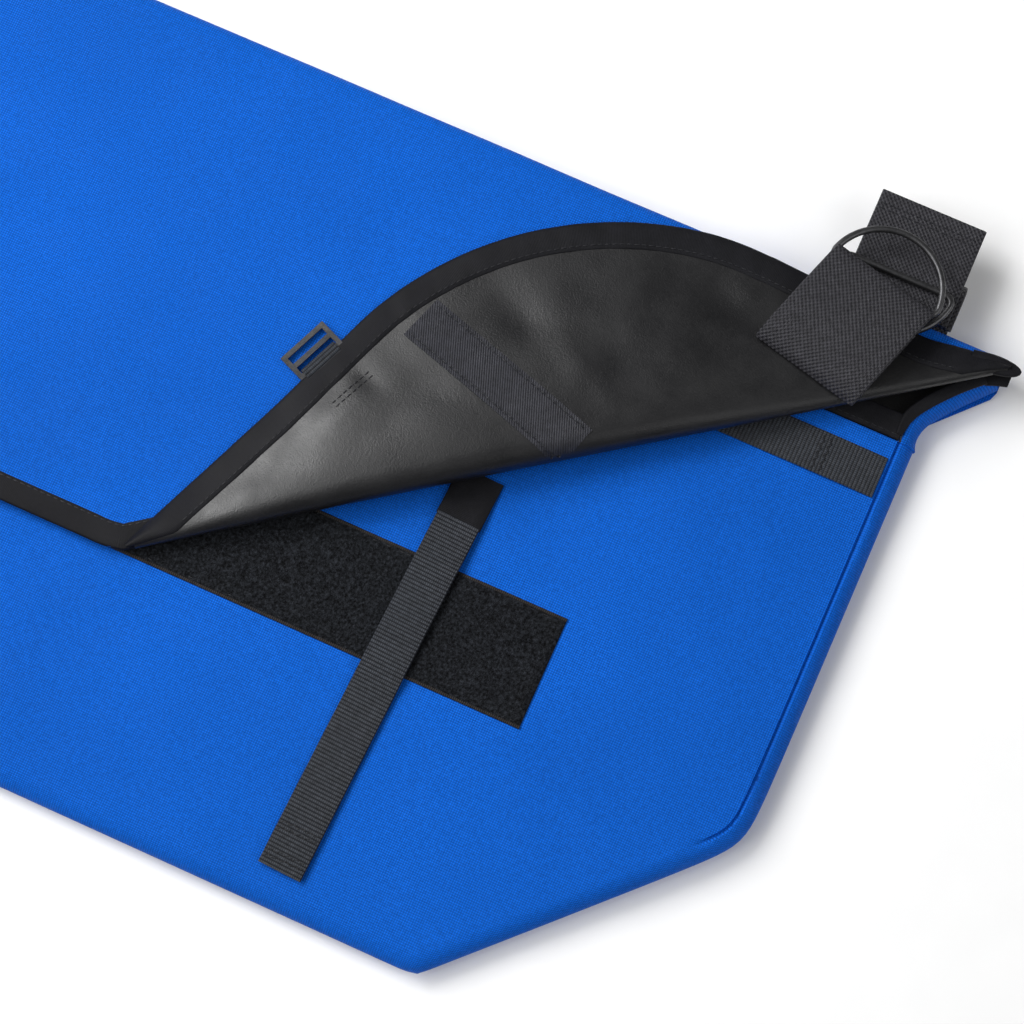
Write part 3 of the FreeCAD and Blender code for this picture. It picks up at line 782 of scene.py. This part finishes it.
# ---------------------------------------------------------------------- flap
def on_fold(u, v):
    """Plan position of (u, v), measured along and across the diagonal fold."""
    u, v = np.broadcast_arrays(u, v)
    return FOLD_A[:2] + u[..., None] * ALONG[:2] + v[..., None] * ACROSS[:2]


def flap_z(x, y):
    """Height between the flap's two layers."""
    x, y = np.asarray(x, float), np.asarray(y, float)
    low = 0.5 * (1 - smooth((y - FLAP_BOTTOM) / 30))
    soft = ripple(x, y, 110, 0.9, 12.3) + ripple(x - 0.7 * y, 0.4 * (y + x), 38, 0.35, 2.2)
    return FLAP_LAYERS_Z - low + soft * smooth((HINGE_Y - y) / 25) * 0.8


def flap_left(y):
    """X of the flap's left edge: leaning, with a round lower corner."""
    lean = -TIP + FLAP_LEAN * (HINGE_Y - y)
    foot = -TIP + FLAP_LEAN * (HINGE_Y - FLAP_BOTTOM)
    corner = (math.pi / 2 + math.atan(FLAP_LEAN)) / 2
    centre = foot + FLAP_ROUND / math.tan(corner)
    rise = np.clip(FLAP_BOTTOM + FLAP_ROUND - y, 0, FLAP_ROUND)
    arc = centre - np.sqrt(FLAP_ROUND ** 2 - rise ** 2)
    tangent_y = FLAP_BOTTOM + FLAP_ROUND / math.tan(corner) * math.cos(math.atan(FLAP_LEAN))
    return np.where(y < tangent_y, arc, lean)


def flap_right(y):
    """X where the fold's roll leaves the flat flap."""
    start = on_fold(0.0, UNDER - 0.4)
    return np.minimum(start[0] + (y - start[1]) * ALONG[0] / ALONG[1], TIP)


def settle_flap(obj, slot, *nodes):
    """Hides these CAD nodes and bakes the piece's transform into its mesh."""
    if nodes:
        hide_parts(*nodes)
    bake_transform(obj)


def make_flap():
    rows_y = np.concatenate((FLAP_BOTTOM + 40 * np.linspace(0, 1, 22) ** 1.6,
                             np.linspace(-15.5, HINGE_Y - 3, 62)))
    share = np.linspace(0, 1, 190)
    left, right = flap_left(rows_y), flap_right(rows_y)
    x = left[:, None] + (right - left)[:, None] * share[None, :]
    y = np.broadcast_to(rows_y[:, None], x.shape)
    flat = np.stack((x, y, flap_z(x, y)), axis=-1)
    bend = []
    middle, rise = (FLAP_LAYERS_Z + BACK_Z + 0.6) / 2, (FLAP_LAYERS_Z - BACK_Z - 0.6) / 2
    for angle in np.linspace(math.pi / 2, -math.pi / 2, 13):
        wave = 0.5 * np.array([noise.noise(Vector((a / 70, 4.0, 0))) for a in x[-1]])
        row = flat[-1].copy()
        row[:, 0] = -TIP + (2 * TIP) * share
        full = TOP - HINGE_Y + TOP_FULLNESS + wave
        row[:, 1] = HINGE_Y + full * math.cos(angle) ** 0.8 * (0.8 + 0.2 * math.sin(angle))
        row[:, 2] = middle + rise * math.sin(angle)
        bend.append(row)
    points = np.concatenate((flat, np.array(bend)))
    shell = cloth("flap_cloth", points, plan_uv(points), CLOTH, 1, BLUE)
    settle_flap(shell, "blue_nylon", "flap_shell", "top_fold")
    lining = cloth("flap_lining", points, plan_uv(points), VINYL, -1, LINING)
    settle_flap(lining, "black_vinyl", "flap_liner")
    make_flap_edge(left, rows_y)


def make_flap_edge(left, rows_y):
    """Tape bound round the flap's lower edge and its left side."""
    side_line = np.stack((left, rows_y), axis=1)[::-1]
    lower = np.stack((np.linspace(left[0] + 3, FOLD_A[0] - 4, 60),
                      np.full(60, FLAP_BOTTOM)), axis=1)
    plan = np.concatenate((side_line, lower))[::3]
    plan = np.concatenate((plan, [on_fold(u, 0.8) for u in (1.5, 6, 12, 18)]))
    line = curve_through(np.column_stack((plan, np.zeros(len(plan)))), 2.5)
    inward = np.cross(UP, unit(np.gradient(line, axis=0)))
    middle = line + inward * (BAND / 2 - 0.6)
    middle[:, 2] = flap_z(middle[:, 0], middle[:, 1]) + 0.15
    edge = sweep("flap_edge", middle, -inward, UP, band_section(BAND, BOUND), EDGE)
    settle_flap(edge, "edge_binding", "flap_binding")
    row = middle + inward * (BAND / 2 - 1.8) + UP * (BOUND / 2)
    seam = stitches("flap_edge_stitches", [(row, UP)], THREAD)
    settle_flap(seam, "edge_binding")
    low, high = node_box("hook_strip_left")
    x = (low[0] + high[0]) / 2
    strip = strap("hook_patch_left", [(x, y, 18.9) for y in np.linspace(low[1], high[1], 6)],
                  high[0] - low[0], 1.0, -X_AXIS, HOOKS)
    settle(strip, "flap", "black_pile", "hook_strip_left")


# ------------------------------------------------------- turned-back corner
def turned_edge(u):
    """How far the turned-back corner reaches from the fold, at u along it."""
    u = np.asarray(u, float)
    square = np.clip(ARC_RADIUS ** 2 - (u - ARC_CENTRE[0]) ** 2, 0, None)
    arc = ARC_CENTRE[1] + np.sqrt(square)
    billow = 3.0 * smooth((u - 70) / 60) * smooth((335 - u) / 60)
    notch = 4.6 * np.exp(-((u - 357) / 15) ** 2)
    straight_left = LEFT_SLOPE * u
    straight_right = RIGHT_SLOPE * (FOLD_LENGTH - u) - notch
    edge = np.where(u < 121.6, straight_left, np.where(u > 302, straight_right, arc))
    return edge + billow


def roll_height(u):
    knots = np.linspace(0, FOLD_LENGTH, 120)
    heights = np.interp(knots, ROLL_ALONG, ROLL_HEIGHT)
    kernel = np.hanning(13)
    padded = np.pad(heights, 6, mode="edge")
    return np.interp(u, knots, np.convolve(padded, kernel / kernel.sum(), mode="valid"))


def roll_radius(u):
    return np.minimum(0.62 * roll_height(u) + 0.6, 0.45 * turned_edge(u) + 0.3)


DENTS = (                      # (u, v, along, across, turn in degrees, height)
    (190, 64, 10, 26, 28, -1.5), (276, 58, 9, 9, 0, -1.4), (214, 30, 9, 30, 34, 1.3),
    (104, 40, 22, 14, 30, 1.5), (60, 20, 16, 8, 20, -0.5), (240, 74, 22, 12, 0, 0.8),
    (118, 52, 5, 8, 30, -0.9), (250, 22, 30, 7, 4, 1.5), (306, 40, 12, 16, 20, 0.8),
    (150, 34, 9, 22, 36, -0.6))


def corner_z(u, v):
    """Height of the turned-back corner, between its liner and its shell."""
    u, v = np.asarray(u, float), np.asarray(v, float)
    radius, reach, high = roll_radius(u), turned_edge(u), roll_height(u)
    base = flap_z(*np.moveaxis(on_fold(u, v), -1, 0))
    top = FLAP_LAYERS_Z + high + ROLL_LIFT
    span = np.maximum(reach - radius, 0.5)
    w = np.clip((v - radius) / span, 0, 1)
    fall = 0.35 * w ** 1.5 + 0.65 * smooth(w)
    end = TURNED_EDGE_Z + (base - FLAP_LAYERS_Z)
    slope = top - (top - end) * fall
    free = 4 * w * (1 - w)
    dents = np.zeros(np.shape(slope))
    for u0, v0, along, across, turn, height in DENTS:
        c, s = math.cos(math.radians(turn)), math.sin(math.radians(turn))
        du, dv = u - u0, v - v0
        a, b = (c * du + s * dv) / along, (c * dv - s * du) / across
        dents += height * np.exp(-a * a - b * b)
    slope = slope + free * (dents + ripple(u, v, 34, 0.8, 6.1) + ripple(u, v, 11, 0.12, 8.8))
    waist = (FLAP_LAYERS_Z + top) / 2
    round_up = waist + (top - waist) * np.sqrt(1 - np.clip(1 - v / radius, 0, 1) ** 2)
    return np.where(v < radius, round_up, slope)


def corner_points(u, v, lift=0.0):
    """Points on the turned-back corner's upper face."""
    u, v = np.broadcast_arrays(np.asarray(u, float), np.asarray(v, float))
    plan = on_fold(u, v)
    return np.concatenate((plan, (corner_z(u, v) + lift)[..., None]), axis=-1)


def corner_columns(u):
    """v and z of the fold's cross-sections, one at each row of u (rows, columns).

    The columns run from the flat flap round the roll to the turned-back edge.
    """
    radius, reach = roll_radius(u), turned_edge(u)
    under = np.minimum(UNDER, 0.8 * reach)
    n, k = len(LOWER_TURN), len(LOWER_TURN) + len(UPPER_TURN)
    v = np.concatenate((under[:, :n] * (1 - np.cos(LOWER_TURN)),
                        radius[:, n:k] * (1 - np.cos(UPPER_TURN)),
                        radius[:, k:] + (reach - 1.0 - radius)[:, k:] * OUTWARD), axis=1)
    z = corner_z(u, v)
    half = (roll_height(u[:, :n]) + ROLL_LIFT) / 2
    z[:, :n] = FLAP_LAYERS_Z + half * (1 + np.sin(LOWER_TURN))
    return v, z


def split_line():
    """u of each column where the two parts meet, under the hook strip."""
    u = np.full((1, len(LOWER_TURN) + len(UPPER_TURN) + len(OUTWARD)), SPLIT)
    for _ in range(8):
        u = SPLIT - SPLIT_SLANT * corner_columns(u)[0]
    return u[0]


def blend_corner(obj):
    """Bakes the piece's transform into its mesh."""
    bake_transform(obj)


def make_corner():
    split = split_line()
    share = np.linspace(0, 1, 84)[:, None]
    left = 7 + (split - 7) * share
    right = split + (FOLD_LENGTH - 3 - split) * share
    parts = (("left", left, False, (0.19, 0.12), 0.0125),
             ("right", right, True, (0.26, 0.12), 0.020))
    for name, u, right_part, flat, area in parts:
        v, z = corner_columns(u)
        points = np.concatenate((on_fold(u, v), z[..., None]), axis=-1)
        uv = np.stack((u, np.zeros(u.shape)), axis=-1)
        uv[:, 1:, 1] = np.cumsum(np.linalg.norm(np.diff(points, axis=1), axis=2), axis=1)
        shell = cloth("corner_cloth_" + name, points, uv, CLOTH, -1, BLUE, flip=True)
        lining = cloth("corner_lining_" + name, points, uv, VINYL, 1, LINING, flip=True)
        if not right_part:
            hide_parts("corner_shell", "corner_roll")
            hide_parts("corner_liner")
        for piece in (shell, lining):
            blend_corner(piece)
    make_corner_edge("left", np.linspace(3.0, split[-1], 70), False)
    make_corner_edge("right", np.linspace(split[-1], FOLD_LENGTH - 1.5, 130), True)


EDGE_PROFILE = np.array((       # (share of the band's width, lift over the layers)
    (0, 0.75), (0.03, 1.1), (0.2, 1.2), (0.45, 1.25), (0.7, 1.2), (0.88, 1.1), (0.96, 0.8),
    (1.0, 0.3)))


def make_corner_edge(name, us, right_part):
    """Tape bound round the turned-back corner's outer edge."""
    reach = turned_edge(us)
    width = np.minimum(BAND, reach)
    slope = np.gradient(reach, us)
    inward = unit(np.stack((slope, -np.ones(len(us))), axis=1))
    share = EDGE_PROFILE[:, 0]
    reach_in = (width[:, None] + 0.6) * (1 - share) - 0.6
    u = us[:, None] + inward[:, :1] * reach_in
    v = np.maximum(reach[:, None] + inward[:, 1:] * reach_in, 0.3)
    pucker = ripple(u, v * 0.3, 5, 0.25, 21.5)
    points = corner_points(u, np.minimum(v, turned_edge(u)), lift=EDGE_PROFILE[:, 1] + pucker)
    points[..., :2] = on_fold(u, v)
    walked = np.concatenate(([0], np.cumsum(np.hypot(np.diff(us), np.diff(reach)))))
    uv = np.stack(np.broadcast_arrays(walked[:, None], reach_in), axis=-1)
    edge = cloth("corner_edge_" + name, points, uv, 2.4, -1, EDGE, flip=True)
    if not right_part:
        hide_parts("corner_binding")
    blend_corner(edge)
    keep = reach > 14
    row = np.stack([np.interp(1.8 / BAND, share, points[i, :, axis])
                    for i in np.nonzero(keep)[0] for axis in range(3)]).reshape(-1, 3)
    seam = stitches("corner_edge_stitches_" + name, [(row + 0.1 * UP, UP)], THREAD)
    blend_corner(seam)


def make_tips():
    """Bound points of the flap, over the wings' tips."""
    for name, sign in (("right", 1), ("left", -1)):
        high = TURNED_EDGE_Z + 0.4 if sign > 0 else FLAP_LAYERS_Z + 0.2
        line = curve_through([(sign * (TIP - 19), 167.4, high), (sign * (TIP - 8), 169.3, high),
                              (sign * (TIP + 3.5), 170.6, high - 0.9)], 1.0)
        taper = np.sqrt(np.clip(1.02 - np.linspace(0, 1, len(line)) ** 3, 0, 1))
        tip = sweep("flap_tip_" + name, line, Y_AXIS * sign, UP,
                    band_section(9.5, 3.0), EDGE, taper)
        settle(tip, "flap", "edge_binding")
        low = curve_through([(sign * (TIP - 14), 162.0, 15.4), (sign * (TIP - 5), 166.0, 15.8),
                             (sign * (TIP + 1), 168.0, 15.6)], 1.0)
        tip = sweep("wing_tip_" + name, low, Y_AXIS * sign, UP, band_section(7.0, 2.2), EDGE,
                    taper[:1].repeat(len(low)))
        settle(tip, "bag", "edge_binding")


def make_corner_trim():
    """Hook strip sewn to the liner, and the slider's stitches."""
    along = HOOK_HEAD - HOOK_FOOT
    length = float(np.linalg.norm(along))
    along = along / length
    beside = np.array((-along[1], along[0]))
    t = np.linspace(0, length, 60)
    w = np.linspace(-HOOK_WIDTH / 2, HOOK_WIDTH / 2, 13)
    place = HOOK_FOOT + t[:, None, None] * along + w[None, :, None] * beside
    v = np.maximum(place[..., 1], 0.6)
    points = corner_points(place[..., 0], v, lift=VINYL + 0.5)
    uv = np.stack(np.broadcast_arrays(t[:, None], w[None, :]), axis=-1)
    strip = cloth("hook_patch_right", points, uv, 1.0, 1, HOOKS)
    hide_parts("hook_strip_right")
    blend_corner(strip)
    rows = []
    for offset in (2 - HOOK_WIDTH / 2, HOOK_WIDTH / 2 - 2):
        row = HOOK_FOOT + t[2:, None] * along + offset * beside
        rows.append((corner_points(row[:, 0], np.maximum(row[:, 1], 0.6), lift=2.15), UP))
    t = np.linspace(0, 1, 16)
    middle = np.array((101.2, float(turned_edge(101.2))))
    edge = np.array((1.0, LEFT_SLOPE)) / math.hypot(1.0, LEFT_SLOPE)
    inward = np.array((edge[1], -edge[0]))
    for depth in (18.0, 20.5):
        a, b = middle - 11 * edge + depth * inward, middle + 11 * edge + depth * inward
        row = a + (b - a) * t[:, None]
        rows.append((corner_points(row[:, 0], row[:, 1], lift=VINYL + 0.15), UP))
    seam = stitches("corner_stitches", rows, THREAD)
    blend_corner(seam)


# ------------------------------------------------------------------- sliders
def slider_tab(name, origin, outward, level, cad):
    """Ribbed tape folded over the slider's inner bar."""
    outward = np.array((*outward, 0.0))
    side = np.cross(outward, UP)
    profile = ((-9, 0.9), (-2, 1.2), (0.6, 1.75), (2.1, 2.0), (3.6, 1.7), (4.3, 0.6), (3.6, -0.6),
               (2.1, -0.85), (0.4, -0.7), (-9, -0.6))
    points = [np.array((*origin, 0.0)) + outward * a + UP * (level + b) for a, b in profile]
    tab = strap(name, points, 19.0, 0.8, side, RIBBED, step=0.6)
    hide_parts(cad)
    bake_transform(tab)


def make_slider_tabs():
    low, high = node_box("slider_right")
    centre = (low + high) / 2
    outward = np.array((-0.924, 0.383))
    slider_tab("slider_webbing_right", centre[:2] - outward * 7.75, outward, low[2],
               "slider_tab_right")
    low, high = node_box("slider_left")
    slider_tab("slider_webbing_left", ((low[0] + high[0]) / 2, high[1] + 1), (0.0, -1.0),
               low[2], "slider_tab_left")


# ------------------------------------------------------------ shoulder strap
def make_shoulder_strap():
    low, high = node_box("shoulder_strap")
    leg = high[0] - 25.0
    cross = low[1] + 25.0
    z = WEBBING / 2
    corners = np.array([(leg, high[1], z), (leg, cross, z), (-leg, cross, z), (-leg, 160, z)])
    down, over, back = (straight(a, b, 6) for a, b in zip(corners, corners[1:]))
    line = np.concatenate((down, over[1:], back[1:]))
    side = np.zeros(line.shape)
    side[:] = X_AXIS
    below = np.isclose(line[:, 1], cross)
    side[below] = -Y_AXIS
    turns = below & np.isclose(np.abs(line[:, 0]), leg)
    side[turns] = np.stack((np.sign(line[turns, 0]), -np.ones(2), np.zeros(2)), axis=1)
    side[(line[:, 0] < 0) & ~below] = -X_AXIS
    webbing = sweep("shoulder_webbing", line, side, UP, band_section(50.0, WEBBING), HEAVY)
    settle(webbing, "bag", "black_webbing", "shoulder_strap")


def make_anchor():
    low, high = node_box("strap_anchor")
    x = (low[0] + high[0]) / 2
    top = (low[2] + high[2]) / 2
    back = node_box("strap_anchor_fold")[1][1] - WEBBING / 2
    turn = node_box("shoulder_strap")[1][1]
    radius = back - turn
    middle = (top + WEBBING / 2) / 2
    bend = [(x, turn + radius * math.cos(a), middle + (top - WEBBING / 2) / 2 * math.sin(a))
            for a in np.linspace(-math.pi / 2, math.pi / 2, 9)]
    points = [(x, turn - 6, WEBBING / 2 + 0.05)] + bend + [(x, low[1] + 7, top), (x, low[1], top)]
    piece = strap("anchor_webbing", points, 50.0, WEBBING, X_AXIS, HEAVY, step=1.5)
    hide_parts("strap_anchor", "strap_anchor_fold")
    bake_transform(piece)
    rows = [(straight((x - 23, low[1] + d, top + 0.9), (x + 23, low[1] + d, top + 0.9)), UP)
            for d in (3, 6)]
    settle(stitches("anchor_stitches", rows, THREAD), "strap_end", "black_webbing")


def tail_droop(y):
    """How far the strap's free end sinks below its level at y."""
    return 1.6 * float(smooth((y - 195) / 26))


def make_tail():
    """The webbing's free end, lying out past the top edge."""
    low, high = node_box("strap_tail")
    low[0], high[1] = low[0] - 1.5, high[1] + 5
    x, z = (low[0] + high[0]) / 2, (low[2] + high[2]) / 2
    ys = np.linspace(low[1], high[1], 7)
    points = [(x, y, z - tail_droop(y)) for y in ys]
    tail = strap("tail_webbing", points, high[0] - low[0], WEBBING, -X_AXIS, HEAVY)
    settle(tail, "strap_end", "black_webbing", "strap_tail")
    rows = []
    for y in (high[1] - 6, high[1] - 8.5):
        lift = z + WEBBING / 2 - tail_droop(y) + 0.05
        rows.append((straight((low[0] + 2, y, lift), (high[0] - 2, y, lift)), UP))
    settle(stitches("tail_stitches", rows, THREAD), "strap_end", "black_webbing")


def make_keeper():
    """Loop of webbing round the outer ring's bar, lying over the flap's tip."""
    low, high = node_box("strap_loop")
    bar = np.array((236.6, 178.0, 33.8))
    reach = np.array((-0.317, -0.948, 0.0))
    side = np.array((0.972, -0.235, 0.0))
    top, bottom = high[2] - WEBBING / 2, low[2] + WEBBING / 2 - 0.2
    profile = ((6, bottom + 0.2), (-2.2, bottom + 0.9), (-4.2, 33.8), (-2.6, top - 0.9),
               (2, top - 0.2), (12, top), (24, top - 0.3), (34, top - 1.4), (41, top - 3.0),
               (46, top - 5.2), (48.4, top - 7.6), (47.4, top - 9.0), (44, top - 9.2),
               (34, bottom), (20, bottom), (7.5, bottom))
    points = [np.array((bar[0], bar[1], 0)) + reach * a + UP * b for a, b in profile]
    line = curve_through(points, 1.2)
    up = unit(np.cross(side, unit(np.gradient(line, axis=0))))
    loop = sweep("keeper_webbing", line, side, up, band_section(51.5, WEBBING), HEAVY)
    settle(loop, "keeper_loop", "black_webbing", "strap_loop")


# --------------------------------------------------------------------- stage
def make_stage():
    mesh = bpy.data.meshes.new("floor")
    size = 3.0
    mesh.from_pydata([(-size, -size, 0), (size, -size, 0), (size, size, 0), (-size, size, 0)],
                     [], [(0, 1, 2, 3)])
    mesh.uv_layers.new(name="cloth")
    mesh.materials.append(white_paper())
    floor = bpy.data.objects.new("floor", mesh)
    bpy.context.scene.collection.objects.link(floor)


# The picture's directions on the floor, and the point at its middle.
IMAGE_RIGHT = np.array((0.9135, 0.4067, 0.0))
IMAGE_DOWN = np.array((0.4067, -0.9135, 0.0))
TARGET = np.array((0.1308, 0.0267, 0.015))


def lamp(name, place, size, watts):
    light = bpy.data.lights.new(name, "AREA")
    light.shape = "SQUARE"
    light.size = size
    light.energy = watts
    obj = bpy.data.objects.new(name, light)
    obj.location = place
    obj.rotation_euler = (Vector(TARGET) - obj.location).to_track_quat("-Z", "Y").to_euler()
    bpy.context.scene.collection.objects.link(obj)


def make_lights():
    lamp("key", TARGET - IMAGE_RIGHT * 1.0 - IMAGE_DOWN * 0.85 + UP * 1.25, 0.9, 27)
    lamp("left", TARGET - IMAGE_RIGHT * 1.3 + IMAGE_DOWN * 0.1 + UP * 1.5, 1.4, 20)
    lamp("right", TARGET + IMAGE_RIGHT * 1.4 + IMAGE_DOWN * 0.5 + UP * 1.4, 1.6, 12)
    world = bpy.data.worlds.new("studio")
    world.use_nodes = True
    world.node_tree.nodes["Background"].inputs["Color"].default_value = (1, 1, 1, 1)
    world.node_tree.nodes["Background"].inputs["Strength"].default_value = 0.12
    bpy.context.scene.world = world


def make_camera():
    camera = bpy.data.cameras.new("camera")
    camera.lens = 85
    camera.sensor_width = 36
    obj = bpy.data.objects.new("camera", camera)
    tilt = math.radians(11)
    distance = 1.041
    away = math.cos(tilt) * UP + math.sin(tilt) * IMAGE_DOWN
    obj.location = TARGET + away * distance
    down = IMAGE_DOWN * math.cos(tilt) - UP * math.sin(tilt)
    axes = np.stack((IMAGE_RIGHT, -down, away), axis=1)
    turn = Vector(axes[:, 0]), Vector(axes[:, 1]), Vector(axes[:, 2])
    obj.rotation_euler = Matrix(turn).transposed().to_euler()
    bpy.context.scene.collection.objects.link(obj)
    bpy.context.scene.camera = obj
    bpy.context.scene.view_settings.view_transform = "Standard"


make_front()
make_back_and_linings()
make_wings()
make_mouth()
make_loop_strip()
make_side_tapes()
make_closure_straps()
make_flap()
make_corner()
make_corner_trim()
make_tips()
make_slider_tabs()
make_shoulder_strap()
make_anchor()
make_tail()
make_keeper()
for node in ("slider_right", "slider_left", "d_ring_inner", "d_ring_outer"):
    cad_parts[node].data.materials.clear()
    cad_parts[node].data.materials.append(METAL)
make_stage()
make_lights()
make_camera()
